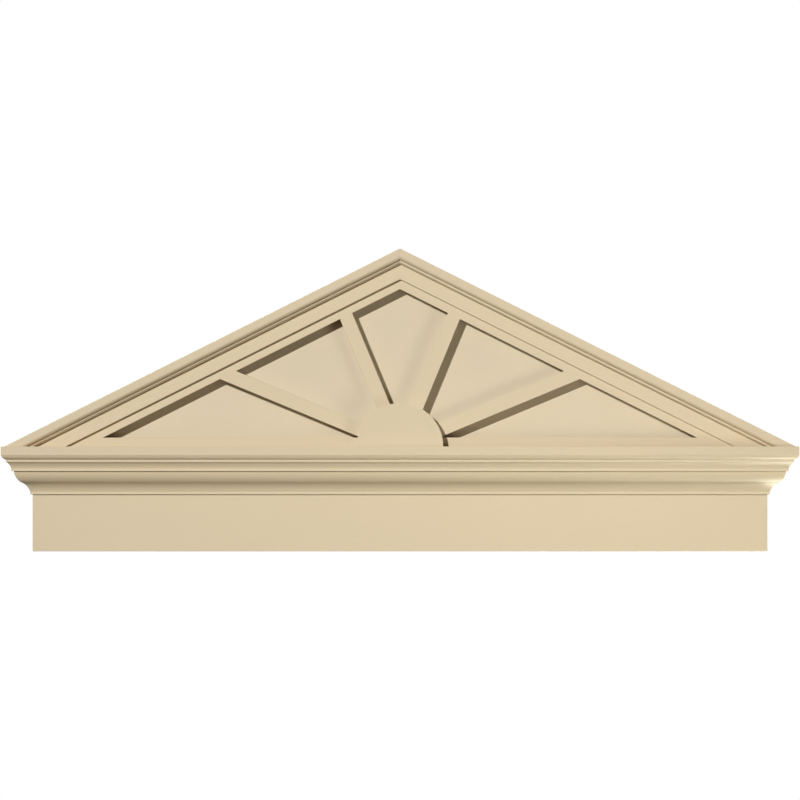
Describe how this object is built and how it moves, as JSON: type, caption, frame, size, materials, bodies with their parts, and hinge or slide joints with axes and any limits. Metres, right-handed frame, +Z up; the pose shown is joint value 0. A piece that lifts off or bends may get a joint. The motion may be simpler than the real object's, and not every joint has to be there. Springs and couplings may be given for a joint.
{
  "type": "peaked pediment with sunburst",
  "caption": "Low triangular pediment for over a door or window: frieze board, mitred crown with returned ends, raking mouldings and a recessed half-sunburst with a raised hub.",
  "frame": {"origin": "middle of the frieze board's flat back face, on the wall plane, half way along the board and half way up it", "axes": "+Z up the wall, +X to the right seen from the front, -Y out of the wall towards the viewer, so the back lies in the plane y = 0 and its normal is +Y"},
  "size_m": [1.2192, 0.068, 0.4622],
  "materials": {
    "primed_trim": "cellular PVC sheet and moulding under a smooth warm tan primer, low sheen"
  },
  "bodies": {
    "root": {"frieze_board": "primed_trim", "cornice_front": "primed_trim", "cornice_return_left": "primed_trim", "cornice_return_right": "primed_trim", "back_panel": "primed_trim", "sunburst_frame": "primed_trim", "sunburst_hub": "primed_trim", "rake_board_left": "primed_trim", "rake_board_right": "primed_trim", "rake_moulding_left": "primed_trim", "rake_moulding_right": "primed_trim"}
  },
  "joints": []
}
